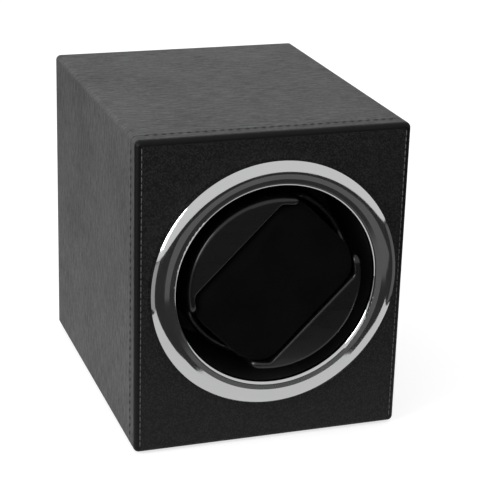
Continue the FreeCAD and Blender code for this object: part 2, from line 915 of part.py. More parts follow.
def fluted_knob():
    """Round knob with a fluted grip, a soft top edge and a pointer groove."""
    front = control_back + knob_gap
    back = front + knob_length
    knob = rod(knob_radius, front, back, rotary_switch_x, control_height)
    knob = knob.makeFillet(knob_edge_round, edges_at(knob, back))
    for number in range(knob_flutes):
        turn = 2 * math.pi * number / knob_flutes
        x = rotary_switch_x + knob_radius * math.cos(turn)
        z = control_height + knob_radius * math.sin(turn)
        knob = knob.cut(rod(knob_flute_radius, front, back, x, z))
    half = knob_pointer_width / 2
    groove = block(
        rotary_switch_x - half,
        rotary_switch_x + half,
        back - knob_pointer_depth,
        back,
        control_height + knob_radius / 3,
        control_height + knob_radius,
    )
    knob = knob.cut(groove)
    spindle_end = control_front - spindle_seat + spindle_length
    return knob.cut(rod(spindle_radius, front, spindle_end, rotary_switch_x, control_height))


def control_parts():
    """Selector switch and knob, direction switch and slider, power inlet, plug and motor leads."""
    half = rotary_switch_size / 2
    switch_front = control_front - spindle_seat
    rotary = block(
        rotary_switch_x - half,
        rotary_switch_x + half,
        circuit_back,
        control_front,
        control_height - half,
        control_height + half,
    )
    neck = rod(rotary_neck_radius, control_front, control_back, rotary_switch_x, control_height)
    bore_radius = spindle_radius + running_clearance
    bore = rod(bore_radius, switch_front - end_float, control_back, rotary_switch_x, control_height)
    rotary = rotary.fuse(neck).removeSplitter().cut(bore)
    spindle_end = switch_front + spindle_length
    spindle = rod(spindle_radius, switch_front, spindle_end, rotary_switch_x, control_height)

    half = slide_switch_width / 2
    slide = block(
        slide_switch_x - half,
        slide_switch_x + half,
        circuit_back,
        control_front,
        control_height - slide_switch_tall / 2,
        control_height + slide_switch_tall / 2,
    )
    slider_front = control_front - slider_root
    slide = slide.cut(slider_room(slider_clearance, slider_front - slider_clearance, control_front))
    slider = block(
        slide_switch_x - slider_width / 2,
        slide_switch_x + slider_width / 2,
        slider_front,
        control_back + slider_reach,
        control_height - slider_tall / 2,
        control_height + slider_tall / 2,
    )

    half = jack_size / 2
    jack = block(
        jack_x - half,
        jack_x + half,
        circuit_back,
        control_front,
        control_height - half,
        control_height + half,
    )
    collar = rod(jack_collar_radius, control_front, control_back, jack_x, control_height)
    jack = jack.fuse(collar).removeSplitter()
    bore_end = control_back - jack_bore_depth
    jack = jack.cut(rod(jack_bore_radius, bore_end, control_back, jack_x, control_height))
    pin = rod(jack_pin_radius, bore_end, control_back - jack_pin_setback, jack_x, control_height)

    plug = block(
        -plug_width / 2, plug_width / 2, plug_front, circuit_front, plug_bottom, plug_bottom + plug_tall
    )
    return {
        "rotary_switch": rotary,
        "knob_spindle": spindle,
        "program_knob": fluted_knob(),
        "slide_switch": slide,
        "direction_slider": slider,
        "dc_jack": jack,
        "jack_pin": pin,
        "lead_plug": plug,
        "motor_leads": motor_leads(),
    }


def motor_leads():
    """Two wires that bow gently from the motor's terminals up to the plug."""
    low = gearbox_axis + terminal_width / 2
    chord = plug_bottom - low
    bow_radius = (chord ** 2 / 4 + lead_bow ** 2) / (2 * lead_bow)
    middle_z = (plug_bottom + low) / 2
    centre_y = lead_depth + lead_bow - bow_radius
    wires = []
    for sign in (-1, 1):
        x = sign * terminal_spread
        ring = Part.makeTorus(bow_radius, lead_radius, Vec(x, centre_y, middle_z), Vec(1, 0, 0))
        reach = block(
            x - 2 * lead_radius, x + 2 * lead_radius, centre_y, centre_y + 2 * bow_radius, low, plug_bottom
        )
        wires.append(ring.common(reach))
    return Part.makeCompound(wires)


parts = {
    "front_board": front_board(),
    "front_cover": front_cover(),
    "body_wrap": body_wrap(),
    "base_felt": base_felt(),
    "bezel_ring": bezel_ring(),
    "well_screws": screws(well_screw_places, flange_back, well_flange + thin_screw_bite, -1),
    "rotor_cup": rotor_cup(),
    "watch_pillow": watch_pillow(),
}
for group in (well, carcass, back_panel, rotor_drive, bearings, drive_plate, gearmotor):
    parts.update(group())
for group in (control_panel, control_parts):
    parts.update(group())

os.makedirs("parts", exist_ok=True)
for name, shape in parts.items():
    shape.exportStep(os.path.join("parts", name + ".step"))
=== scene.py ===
import math
import random

import bmesh
import bpy
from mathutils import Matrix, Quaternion, Vector


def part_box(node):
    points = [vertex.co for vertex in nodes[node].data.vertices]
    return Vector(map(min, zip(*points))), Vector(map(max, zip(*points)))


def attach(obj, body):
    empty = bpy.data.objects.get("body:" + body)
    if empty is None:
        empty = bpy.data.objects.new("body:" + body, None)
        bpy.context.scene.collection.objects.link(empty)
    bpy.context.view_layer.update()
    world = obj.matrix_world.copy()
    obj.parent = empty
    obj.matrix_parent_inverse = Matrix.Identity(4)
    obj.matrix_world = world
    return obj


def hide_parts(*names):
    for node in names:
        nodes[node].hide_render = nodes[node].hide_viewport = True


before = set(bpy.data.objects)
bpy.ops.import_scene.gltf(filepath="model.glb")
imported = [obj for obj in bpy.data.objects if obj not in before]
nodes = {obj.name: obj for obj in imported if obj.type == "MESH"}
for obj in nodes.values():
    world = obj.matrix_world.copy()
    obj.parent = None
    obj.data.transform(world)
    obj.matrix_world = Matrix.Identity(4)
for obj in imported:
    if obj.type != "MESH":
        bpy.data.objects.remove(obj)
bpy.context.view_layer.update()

# Carcass. Four dark fibreboard panels are glued into a sleeve, with a front board, a back board and
# glue blocks in the rear corners. The board stays raw, so it shows pressed fibres.
mm = 0.001
board_brown = (0.03, 0.021, 0.014, 1.0)
board_tan = (0.062, 0.044, 0.03, 1.0)
fibre_stretch = (1.0, 1.0, 3.0)
fibre_scale = 700.0
fibre_relief = 0.15 * mm


class Socket:
    """One output of a shader node. Arithmetic on it adds the Math nodes that the sum needs."""

    def __init__(self, tree, output):
        self.tree = tree
        self.output = output

    def add(self, kind, settings=None, sockets=None, output=0):
        """Adds a node of any kind: its settings come first, then the values or links of its sockets."""
        node = self.tree.nodes.new("ShaderNode" + kind)
        for name, value in (settings or {}).items():
            setattr(node, name, value)
        for name, value in (sockets or {}).items():
            if isinstance(value, Socket):
                self.tree.links.new(value.output, node.inputs[name])
            else:
                node.inputs[name].default_value = value
        return Socket(self.tree, node.outputs[output])

    def math(self, operation, *values):
        return self.add("Math", {"operation": operation}, dict(enumerate(values)))

    def __add__(self, other):
        return self.math("ADD", self, other)

    def __sub__(self, other):
        return self.math("SUBTRACT", self, other)

    def __rsub__(self, other):
        return self.math("SUBTRACT", other, self)

    def __mul__(self, other):
        return self.math("MULTIPLY", self, other)

    def __abs__(self):
        return self.math("ABSOLUTE", self)

    __radd__ = __add__
    __rmul__ = __mul__


def fresh_material(name):
    """An empty material, and the socket of its coordinates in metres of the shared frame."""
    material = bpy.data.materials.new(name)
    material.use_nodes = True
    tree = material.node_tree
    tree.nodes.clear()
    coordinates = tree.nodes.new("ShaderNodeTexCoord")
    return material, Socket(tree, coordinates.outputs["Object"])


def finish_with(place, **sockets):
    """Closes a material with a surface shader; socket names are given with _ for a space."""
    named = {name.replace("_", " "): value for name, value in sockets.items()}
    surface = place.add("BsdfPrincipled", None, named)
    end = place.tree.nodes.new("ShaderNodeOutputMaterial")
    place.tree.links.new(surface.output, end.inputs["Surface"])


def noise(place, scale, detail=2.0):
    return place.add("TexNoise", None, {"Vector": place, "Scale": scale, "Detail": detail})


def stretched(place, *factors):
    return place.add("VectorMath", {"operation": "MULTIPLY"}, {0: place, 1: factors})


def step(value, low, high):
    """0 below low and 1 above high, with a smooth rise between."""
    sockets = {"Value": value, "From Min": low, "From Max": high}
    return value.add("MapRange", {"interpolation_type": "SMOOTHSTEP"}, sockets)


def tint(mask, dark, light):
    return mask.add("Mix", {"data_type": "RGBA"}, {0: mask, 6: dark, 7: light}, 2)


def bump(height, depth):
    return height.add("Bump", None, {"Height": height, "Strength": 1.0, "Distance": depth})


def dress(material, *names):
    """Gives CAD nodes their finish."""
    for name in names:
        for slot in nodes[name].material_slots:
            slot.material = material


fibreboard, place = fresh_material("fibreboard")
fibres = noise(stretched(place, *fibre_stretch), fibre_scale, 5.0)
finish_with(
    place,
    Base_Color=tint(step(fibres, 0.3, 0.7), board_brown, board_tan),
    Roughness=0.78 + 0.15 * fibres,
    Normal=bump(fibres, fibre_relief),
)
dress(fibreboard, "panel_left", "panel_right", "panel_top", "panel_bottom")
dress(fibreboard, "front_board", "back_board", "corner_blocks")

# Case wrap. Charcoal leatherette with a fine brushed emboss is glued round the four boards, its
# brush marks running round the case, and hemmed at the front with a row of dark thread. The hem's
# fold and the seam groove are painted darker as shade.
charcoal_dark = (0.04, 0.04, 0.0402, 1.0)
charcoal_light = (0.106, 0.106, 0.1065, 1.0)
# Colour of the shade painted into the hem's fold and seam groove.
hem_shade_dark = (0.02, 0.02, 0.021, 1.0)
streak_scale = (130.0, 820.0, 1.0)
fine_scale = (520.0, 1300.0, 1.0)
cloud_scale = 26.0
emboss = 0.06 * mm
hem_depth = 11.0 * mm
fold_fade = 1.2 * mm
seam_depth = 8.4 * mm
seam_groove = 0.9 * mm
ply_scale = 900.0
fuzz_scale = 4000.0
ply_relief = 0.05 * mm
wrap_low, wrap_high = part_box("body_wrap")
front_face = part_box("front_cover")[0].y


def axis(place, name):
    return place.add("SeparateXYZ", None, {0: place}, name)


def brushed_leatherette(name, along, across, hem):
    """Charcoal leatherette; along and across are its two directions and hem marks the folded edge."""
    material, place = fresh_material(name)
    run, cross = along(place), across(place)
    sheet = place.add("CombineXYZ", None, {0: run, 1: cross})
    streaks = noise(stretched(sheet, *streak_scale), 1.0, 4.0)
    fine_marks = noise(stretched(sheet, *fine_scale), 1.0, 3.0)
    cloud = noise(place, cloud_scale, 2.0)
    grain = 0.6 * streaks + 0.4 * fine_marks
    shade = step(grain + 0.2 * (cloud - 0.5), 0.3, 0.7)
    colour = tint(shade, charcoal_dark, charcoal_light)
    height = grain
    if hem:
        depth = axis(place, "Y") - front_face
        fold = 1 - step(depth, hem_depth - fold_fade, hem_depth)
        groove = 1 - step(abs(depth - seam_depth), 0.0, seam_groove)
        # Painted shade: the folded band and the seam groove are tinted darker.
        hem_shade = 0.2 * fold + 0.3 * groove
        colour = tint(hem_shade, colour, hem_shade_dark)
        height = grain + 1.4 * fold - 3.0 * groove
    finish_with(
        place,
        Base_Color=colour,
        Roughness=0.5 + 0.2 * (1 - grain),
        Specular_IOR_Level=0.1,
        Normal=bump(height, emboss),
    )
    return material


def round_case(place):
    return axis(place, "X") + axis(place, "Z")


def depth_of(place):
    """Depth in the case, and height as well on the rim that is turned in at the back."""
    normal = place.add("TexCoord", None, None, "Normal")
    rim = step(abs(axis(normal, "Y")), 0.6, 0.8)
    return axis(place, "Y") + rim * axis(place, "Z")


wrap_leatherette = brushed_leatherette("wrap_leatherette", round_case, depth_of, True)
dress(wrap_leatherette, "body_wrap")


def piece(name, mesh, body):
    """Puts a mesh in the scene as a piece of the object."""
    thing = bpy.data.objects.new(name, mesh)
    bpy.context.scene.collection.objects.link(thing)
    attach(thing, body)
    return thing


def stitch_row(name, places, length, thread, lift, material):
    """One mesh of thread loops; each place is a middle, a direction along the seam and one outwards."""
    rings = 7
    sides = 8
    end_share = 0.45
    sunk_share = 0.45
    shape = bmesh.new()
    for middle, along, out in places:
        side = along.cross(out)
        loops = []
        for ring in range(rings):
            share = ring / (rings - 1)
            arch = math.sin(math.pi * share)
            centre = middle + along * length * (share - 0.5) + out * lift * (arch - sunk_share)
            radius = thread / 2 * (end_share + (1 - end_share) * math.sqrt(arch))
            loop = []
            for number in range(sides):
                turn = 2 * math.pi * number / sides
                spot = centre + radius * (math.cos(turn) * side + math.sin(turn) * out)
                loop.append(shape.verts.new(spot))
            loops.append(loop)
        for lower, upper in zip(loops, loops[1:]):
            for number in range(sides):
                after = (number + 1) % sides
                shape.faces.new((lower[number], lower[after], upper[after], upper[number]))
        shape.faces.new(loops[0][::-1])
        shape.faces.new(loops[-1])
    mesh = bpy.data.meshes.new(name)
    bmesh.ops.recalc_face_normals(shape, faces=shape.faces)
    shape.to_mesh(mesh)
    shape.free()
    mesh.materials.append(material)
    mesh.shade_smooth()
    return mesh


def thread_finish(name, dark, light):
    """Twisted polyester thread: its plies show as slanting bands."""
    material, place = fresh_material(name)
    bands = {"Vector": place, "Scale": ply_scale}
    twist = place.add("TexWave", {"bands_direction": "DIAGONAL"}, bands, 1)
    fuzz = noise(place, fuzz_scale, 2.0)
    finish_with(
        place,
        Base_Color=tint(0.7 * twist + 0.3 * fuzz, dark, light),
        Roughness=0.6 + 0.2 * fuzz,
        Normal=bump(twist, ply_relief),
    )
    return material


def seam_places(start, end, out, pitch):
    """Middles of the stitches along one straight run of a seam."""
    along = (end - start).normalized()
    count = round((end - start).length / pitch)
    spots = []
    for number in range(count):
        spots.append((start.lerp(end, (number + 0.5) / count), along, out))
    return spots


hem_thread_dark = (0.016, 0.016, 0.017, 1.0)
hem_thread_light = (0.05, 0.05, 0.052, 1.0)
dark_thread = thread_finish("dark_thread", hem_thread_dark, hem_thread_light)
stitch_pitch = 3.9 * mm
stitch_length = 2.5 * mm
stitch_lift = 0.25 * mm
thread_width = 0.75 * mm
hem_end = 5.0 * mm
seam = front_face + seam_depth
runs = (
    ((wrap_low.x, wrap_low.z + hem_end), (wrap_low.x, wrap_high.z - hem_end), (-1, 0, 0)),
    ((wrap_low.x + hem_end, wrap_high.z), (wrap_high.x - hem_end, wrap_high.z), (0, 0, 1)),
    ((wrap_high.x, wrap_high.z - hem_end), (wrap_high.x, wrap_low.z + hem_end), (1, 0, 0)),
)
hem_places = []
for (x0, z0), (x1, z1), out in runs:
    hem_places += seam_places(Vector((x0, seam, z0)), Vector((x1, seam, z1)), Vector(out), stitch_pitch)
hem_mesh = stitch_row("hem_stitches", hem_places, stitch_length, thread_width, stitch_lift, dark_thread)
piece("hem_stitches", hem_mesh, "case")

# Front cover. Black leatherette with a pebble grain is stretched over the front board and sewn down
# both sides with grey thread. Where it is rolled round the edges the pull flattens its grain, and a
# band along those edges is painted near black as shade.
pebble_dark = (0.0064, 0.0064, 0.0068, 1.0)
pebble_light = (0.019, 0.019, 0.0198, 1.0)
rolled_edge_shade = (0.0022, 0.0022, 0.0024, 1.0)
roll_width = 2.3 * mm
roll_fade = 0.7 * mm
pebble_scale = 1150.0
swell_scale = 420.0
pore_scale = 2600.0
pebble_relief = 0.36 * mm


def width_of(place):
    return axis(place, "X")


def height_of(place):
    return axis(place, "Z")


pebble_leatherette, place = fresh_material("pebble_leatherette")
cell_sockets = {"Vector": place, "Scale": pebble_scale, "Smoothness": 0.6}
cells = place.add("TexVoronoi", {"feature": "SMOOTH_F1"}, cell_sockets)
swell = noise(place, swell_scale, 3.0)
pores = noise(place, pore_scale, 2.0)
# flat is 1 on the face and falls to 0 within roll_width of the left, right and top edges.
from_left = step(width_of(place), wrap_low.x + roll_width, wrap_low.x + roll_width + roll_fade)
from_right = 1 - step(width_of(place), wrap_high.x - roll_width - roll_fade, wrap_high.x - roll_width)
from_top = 1 - step(height_of(place), wrap_high.z - roll_width - roll_fade, wrap_high.z - roll_width)
flat = from_left * from_right * from_top
pebbles = (1 - cells + 0.5 * swell) * (0.35 + 0.65 * flat)
grained = tint(step(pebbles + 0.3 * pores, 0.75, 1.3), pebble_dark, pebble_light)
# Painted shade: on the rolled edges the colour is tinted to near black.
finish_with(
    place,
    Base_Color=tint(flat, rolled_edge_shade, grained),
    Roughness=0.36 + 0.2 * swell + 0.1 * pores,
    Specular_IOR_Level=0.15,
    Normal=bump(pebbles, pebble_relief),
)
dress(pebble_leatherette, "front_cover")

edge_thread_dark = (0.025, 0.025, 0.027, 1.0)
edge_thread_light = (0.11, 0.11, 0.115, 1.0)
grey_thread = thread_finish("grey_thread", edge_thread_dark, edge_thread_light)
edge_inset = 2.6 * mm
edge_end = 3.0 * mm
edge_pitch = 3.2 * mm
edge_length = 2.8 * mm
edge_width = 0.55 * mm
edge_lift = 0.2 * mm
edge_places = []
for sign, edge in ((-1, wrap_low.x), (1, wrap_high.x)):
    x = edge - sign * edge_inset
    foot = Vector((x, front_face, wrap_low.z + edge_end))
    head = Vector((x, front_face, wrap_high.z - edge_end))
    edge_places += seam_places(foot, head, Vector((0, -1, 0)), edge_pitch)
edge_mesh = stitch_row("edge_stitches", edge_places, edge_length, edge_width, edge_lift, grey_thread)
piece("edge_stitches", edge_mesh, "case")

# Bezel. One moulded ring, plated bright: a domed band outside, a flat, an inward slope and a thin
# lip. Its spigot sits in the front board, so only the polished face shows.
plating_blue = (0.545, 0.55, 0.56, 1.0)
plating_white = (0.585, 0.585, 0.578, 1.0)
haze_scale = 60.0
hairline_scale = (300.0, 3000.0, 300.0)
hairline_relief = 0.0015 * mm
bright_plating, place = fresh_material("bright_plating")
haze = noise(place, haze_scale, 3.0)
hairlines = noise(stretched(place, *hairline_scale), 1.0, 2.0)
finish_with(
    place,
    Base_Color=tint(haze, plating_blue, plating_white),
    Metallic=1.0,
    Roughness=0.06 + 0.05 * step(haze, 0.45, 0.8) + 0.03 * hairlines,
    Normal=bump(hairlines, hairline_relief),
)
dress(bright_plating, "bezel_ring")

# Well. A black sleeve behind the bezel is glued into a square flange, which four screws hold to the
# front board. A moulded plate closes it, with the front bush in its boss and posts for the drive.
moulded_dark = (0.012, 0.012, 0.012, 1.0)
moulded_light = (0.026, 0.026, 0.026, 1.0)
flow_scale = 45.0
spark_relief = 0.03 * mm


def moulded_plastic(name, dark, light, grain_scale, rough):
    """Moulded plastic with a spark-eroded grain and slightly uneven gloss."""
    material, place = fresh_material(name)
    spark = noise(place, grain_scale, 4.0)
    flow = noise(place, flow_scale, 2.0)
    finish_with(
        place,
        Base_Color=tint(step(0.6 * spark + 0.4 * flow, 0.3, 0.7), dark, light),
        Roughness=rough + 0.12 * flow + 0.08 * spark,
        Normal=bump(spark, spark_relief),
    )
    return material


black_plastic = moulded_plastic("black_plastic", moulded_dark, moulded_light, 2200.0, 0.5)
dress(black_plastic, "rotor_well", "well_flange", "bearing_plate")

# Rotor cup. A black gloss moulding: a round wall with two D-shaped shelves, a notch at each end
# of the strap channel and a hub screwed to the shaft. It is polished, with faint wipe marks.
moulding_black = (0.0035, 0.0035, 0.0038, 1.0)
dusty_black = (0.0055, 0.0055, 0.006, 1.0)
wipe_scale = (90.0, 30.0, 260.0)
dust_scale = 1800.0
wipe_relief = 0.004 * mm
gloss_black, place = fresh_material("gloss_black")
wipe = noise(stretched(place, *wipe_scale), 1.0, 3.0)
dust = noise(place, dust_scale, 3.0)
finish_with(
    place,
    Base_Color=tint(step(dust, 0.5, 0.8), moulding_black, dusty_black),
    Roughness=0.22 + 0.1 * wipe + 0.02 * dust,
    Specular_IOR_Level=0.33,
    Coat_Weight=0.1 + 0.18 * wipe,
    Coat_Roughness=0.06,
    Normal=bump(wipe, wipe_relief),
)
dress(gloss_black, "rotor_cup")

# Watch pillow. A velvet cover stuffed tight, pushed into the cup's pocket with its long side along
# the strap channel. It lifts out by hand, and a watch is closed round it.
velvet_dark = (0.0007, 0.0007, 0.0008, 1.0)
velvet_light = (0.0026, 0.0026, 0.0028, 1.0)
voxel = 2.4 * mm
swell_limit = 1.6 * mm
cloth_frames = 20
stuffing_pressure = 4.0
along_channel = Vector((1, 0, 1)).normalized()
across_channel = Vector((1, 0, -1)).normalized()
pocket_half = 25.9 * mm
end_half = 36.0 * mm
wall_radius = 38.1 * mm
longer = 1.08
wider = 1.11
pile_scale = 3200.0
brush_scale = 60.0
pile_relief = 0.12 * mm


def applied(thing):
    """The mesh of an object as its modifiers leave it."""
    bpy.context.view_layer.update()
    ready = thing.evaluated_get(bpy.context.evaluated_depsgraph_get())
    return bpy.data.meshes.new_from_object(ready)


def inside_pocket(spot, middle, low, high):
    """The nearest place to a point that the pocket, the cup's round wall and the depth leave free."""
    offset = spot - middle
    across = max(-pocket_half, min(pocket_half, offset.dot(across_channel)))
    end = min(end_half, math.sqrt(wall_radius ** 2 - across ** 2))
    along = max(-end, min(end, offset.dot(along_channel)))
    held = middle + along_channel * along + across_channel * across
    held.y = max(low.y, min(high.y, spot.y))
    return held


def stuffed_cover(name, node):
    """A node's form as a stuffed cover: eased out, remeshed evenly, blown up as cloth and held in."""
    mesh = nodes[node].data.copy()
    low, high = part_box(node)
    middle = (low + high) / 2
    for vertex in mesh.vertices:
        offset = vertex.co - middle
        offset += along_channel * offset.dot(along_channel) * (longer - 1)
        offset += across_channel * offset.dot(across_channel) * (wider - 1)
        vertex.co = middle + offset
    cover = bpy.data.objects.new(name, mesh)
    bpy.context.scene.collection.objects.link(cover)
    remesh = cover.modifiers.new("even", "REMESH")
    remesh.mode = "VOXEL"
    remesh.voxel_size = voxel
    cover.data = applied(cover)
    cover.modifiers.clear()
    starts = [vertex.co.copy() for vertex in cover.data.vertices]
    cloth = cover.modifiers.new("stuffing", "CLOTH")
    cloth.settings.use_pressure = True
    cloth.settings.uniform_pressure_force = stuffing_pressure
    cloth.settings.effector_weights.gravity = 0.0
    for number in range(1, cloth_frames + 1):
        bpy.context.scene.frame_set(number)
    cover.data = applied(cover)
    cover.modifiers.clear()
    bpy.context.scene.frame_set(1)
    for vertex, start in zip(cover.data.vertices, starts):
        move = vertex.co - start
        outward = Vector((start.x - middle.x, 0, start.z - middle.z))
        inward = min(0.0, move.dot(outward) / outward.length_squared)
        move -= outward * inward
        vertex.co = start + move
        if move.length > swell_limit:
            vertex.co = start + move * (swell_limit / move.length)
        vertex.co = inside_pocket(vertex.co, middle, low, high)
    cover.data.shade_smooth()
    rounder = cover.modifiers.new("rounder", "SUBSURF")
    rounder.levels = 1
    rounder.render_levels = 1
    return cover


velvet, place = fresh_material("velvet")
pile = noise(place, pile_scale, 3.0)
brushed = noise(place, brush_scale, 3.0)
finish_with(
    place,
    Base_Color=tint(step(0.5 * pile + 0.5 * brushed, 0.3, 0.7), velvet_dark, velvet_light),
    Roughness=0.85 + 0.1 * pile,
    Specular_IOR_Level=0.05,
    Sheen_Weight=0.015,
    Sheen_Roughness=0.4,
    Normal=bump(pile, pile_relief),
)
pillow = stuffed_cover("velvet_pillow", "watch_pillow")
pillow.data.materials.clear()
pillow.data.materials.append(velvet)
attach(pillow, "pillow")
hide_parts("watch_pillow")

# Turning parts. The cup's steel shaft runs in two sintered bronze bushes; a moulded gear, a thrust
# washer and a clip sit on it, and the motor's pinion drives the gear.
steel_dark = (0.3, 0.3, 0.31, 1.0)
steel_light = (0.52, 0.52, 0.53, 1.0)
bronze_dark = (0.3, 0.17, 0.07, 1.0)
bronze_light = (0.5, 0.32, 0.14, 1.0)
nylon_dark = (0.6, 0.59, 0.54, 1.0)
nylon_light = (0.74, 0.73, 0.69, 1.0)
turned_marks = (400.0, 6000.0, 400.0)
stain_scale = 90.0
mark_relief = 0.01 * mm


def worked_metal(name, dark, light, along, rough):
    """Bare metal with tool marks; along stretches the marks in one direction."""
    material, place = fresh_material(name)
    marks = noise(stretched(place, *along), 1.0, 3.0)
    stain = noise(place, stain_scale, 2.0)
    finish_with(
        place,
        Base_Color=tint(0.5 * marks + 0.5 * stain, dark, light),
        Metallic=1.0,
        Roughness=rough + 0.15 * marks,
        Normal=bump(marks, mark_relief),
    )
    return material


ground_steel = worked_metal("ground_steel", steel_dark, steel_light, turned_marks, 0.22)
bronze = worked_metal("bronze", bronze_dark, bronze_light, turned_marks, 0.4)
white_nylon = moulded_plastic("white_nylon", nylon_dark, nylon_light, 900.0, 0.4)
dress(ground_steel, "rotor_shaft", "pinion_shaft", "shaft_clip")
dress(bronze, "front_bush", "rear_bush")
dress(white_nylon, "thrust_washer", "rotor_gear", "pinion")

# Drive. A zinc-plated plate stands on rubber dampers behind the well and carries the gearmotor;
# plated screws hold the plate, the motor, the well and the cup.
zinc_dark = (0.36, 0.36, 0.35, 1.0)
zinc_light = (0.56, 0.56, 0.57, 1.0)
sheet_marks = (300.0, 300.0, 4000.0)
rubber_dark = (0.008, 0.008, 0.008, 1.0)
rubber_light = (0.02, 0.02, 0.02, 1.0)
zinc_sheet = worked_metal("zinc_sheet", zinc_dark, zinc_light, sheet_marks, 0.35)
black_rubber = moulded_plastic("black_rubber", rubber_dark, rubber_light, 1400.0, 0.7)
dress(zinc_sheet, "drive_plate", "gearbox_housing", "motor_can")
dress(zinc_sheet, "well_screws", "plate_screws", "motor_screws", "rotor_screw")
dress(black_rubber, "damper_grommets")
dress(black_plastic, "motor_cap")
dress(bronze, "motor_terminals")

# Circuit board. Green laminate under a solder mask, screwed to the control plate's two posts. It
# carries the two switches, the power inlet and the plug of the motor's rubber-covered leads.
mask_dark = (0.004, 0.05, 0.02, 1.0)
mask_light = (0.012, 0.13, 0.055, 1.0)
weave_scale = (900.0, 900.0, 2200.0)
track_scale = 120.0
track_relief = 0.03 * mm
circuit_green, place = fresh_material("circuit_green")
weave = noise(stretched(place, *weave_scale), 1.0, 2.0)
tracks = place.add("TexBrick", None, {"Vector": place, "Scale": track_scale}, 1)
finish_with(
    place,
    Base_Color=tint(0.7 * weave + 0.3 * tracks, mask_dark, mask_light),
    Roughness=0.3 + 0.15 * weave,
    Normal=bump(tracks, track_relief),
)
dress(circuit_green, "circuit_board")
dress(zinc_sheet, "board_screws")
dress(black_plastic, "rotary_switch", "slide_switch", "dc_jack")
dress(bronze, "jack_pin")
dress(white_nylon, "lead_plug")
dress(black_rubber, "motor_leads")

# Back. A leatherette-covered board is screwed to the glue blocks, inside the wrap's turned-in rim.
# Its brush marks run across the case.
back_leatherette = brushed_leatherette("back_leatherette", width_of, height_of, False)
dress(back_leatherette, "back_cover")

# Rear screws. Black pan heads with a cross recess hold the back board and the control plate. They
# are blackened steel, each turned as it was driven.
screw_head = 3.0 * mm
screw_height = 2.0 * mm
recess_width = 0.7 * mm
recess_reach = 1.7 * mm
recess_depth = 0.9 * mm
head_sides = 32
rim_share = 0.45
dome_share = 0.5
flat_share = 0.55
recess_taper = 0.6
sharp_edge = math.radians(35)
oxide_dark = (0.012, 0.012, 0.013, 1.0)
oxide_light = (0.045, 0.045, 0.047, 1.0)
black_oxide = worked_metal("black_oxide", oxide_dark, oxide_light, turned_marks, 0.34)


def lathe(profile, sides):
    """Closed round mesh from radius and height pairs, standing on its axis along +Z."""
    shape = bmesh.new()
    loops = []
    for radius, height in profile:
        if radius == 0:
            loops.append([shape.verts.new((0, 0, height))])
            continue
        loop = []
        for number in range(sides):
            turn = 2 * math.pi * number / sides
            loop.append(shape.verts.new((radius * math.cos(turn), radius * math.sin(turn), height)))
        loops.append(loop)
    for lower, upper in zip(loops, loops[1:]):
        for number in range(sides):
            after = (number + 1) % sides
            corners = [lower[number % len(lower)], lower[after % len(lower)]]
            corners += [upper[after % len(upper)], upper[number % len(upper)]]
            shape.faces.new(list(dict.fromkeys(corners)))
    bmesh.ops.recalc_face_normals(shape, faces=shape.faces)
    return shape


def cross_screw(name):
    """Pan head with a cross recess cut into its crown."""
    rim_height = rim_share * screw_height
    profile = [(0, 0), (screw_head, 0), (screw_head, rim_height)]
    for share in (0.2, 0.4, 0.6, 0.8, 1.0):
        turn = share * math.pi / 2
        radius = screw_head * (flat_share + (1 - flat_share) * math.cos(turn))
        profile.append((radius, rim_height + dome_share * screw_height * math.sin(turn)))
    profile.append((0, screw_height))
    shape = lathe(profile, head_sides)
    mesh = bpy.data.meshes.new(name)
    shape.to_mesh(mesh)
    shape.free()
    head = bpy.data.objects.new(name, mesh)
    bpy.context.scene.collection.objects.link(head)
    cutter = bmesh.new()
    for wide, deep in ((recess_reach, recess_width / 2), (recess_width / 2, recess_reach)):
        made = bmesh.ops.create_cube(cutter, size=2.0)["verts"]
        for vertex in made:
            vertex.co = Vector((vertex.co.x * wide, vertex.co.y * deep, vertex.co.z * recess_depth))
            if vertex.co.z < 0:
                vertex.co.x *= recess_taper if wide > deep else 1.0
                vertex.co.y *= recess_taper if deep > wide else 1.0
            vertex.co.z += screw_height
    cutter_mesh = bpy.data.meshes.new(name + "_recess")
    cutter.to_mesh(cutter_mesh)
    cutter.free()
    recess = bpy.data.objects.new(name + "_recess", cutter_mesh)
    bpy.context.scene.collection.objects.link(recess)
    cut = head.modifiers.new("recess", "BOOLEAN")
    cut.object = recess
    cut.solver = "EXACT"
    cut.use_self = True
    ready = applied(head)
    bpy.data.objects.remove(head)
    bpy.data.objects.remove(recess)
    return ready


def screw_spots(node):
    """Axes of a node's four screws, one head's radius in from the corners of its box."""
    low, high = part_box(node)
    spots = []
    for x in (low.x + screw_head, high.x - screw_head):
        for z in (low.z + screw_head, high.z - screw_head):
            spots.append((x, z))
    return spots


def screw_group(name, node):
    """Cross-head screws in place of a node's plain ones, each turned as it was driven."""
    one = cross_screw(name + "_head")
    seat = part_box(node)[1].y - screw_height
    rng = random.Random(name)
    shape = bmesh.new()
    for x, z in screw_spots(node):
        placed = one.copy()
        placed.transform(Quaternion((0, 0, 1), rng.uniform(0, math.pi / 2)).to_matrix().to_4x4())
        placed.transform(Quaternion((1, 0, 0), -math.pi / 2).to_matrix().to_4x4())
        for vertex in placed.vertices:
            vertex.co += Vector((x, seat, z))
        shape.from_mesh(placed)
    mesh = bpy.data.meshes.new(name)
    shape.to_mesh(mesh)
    shape.free()
    mesh.materials.clear()
    mesh.materials.append(black_oxide)
    mesh.shade_smooth()
    made = piece(name, mesh, "case")
    edges = made.modifiers.new("edges", "EDGE_SPLIT")
    edges.split_angle = sharp_edge
    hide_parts(node)


screw_group("back_panel_screws", "back_screws")
screw_group("control_plate_screws", "control_screws")

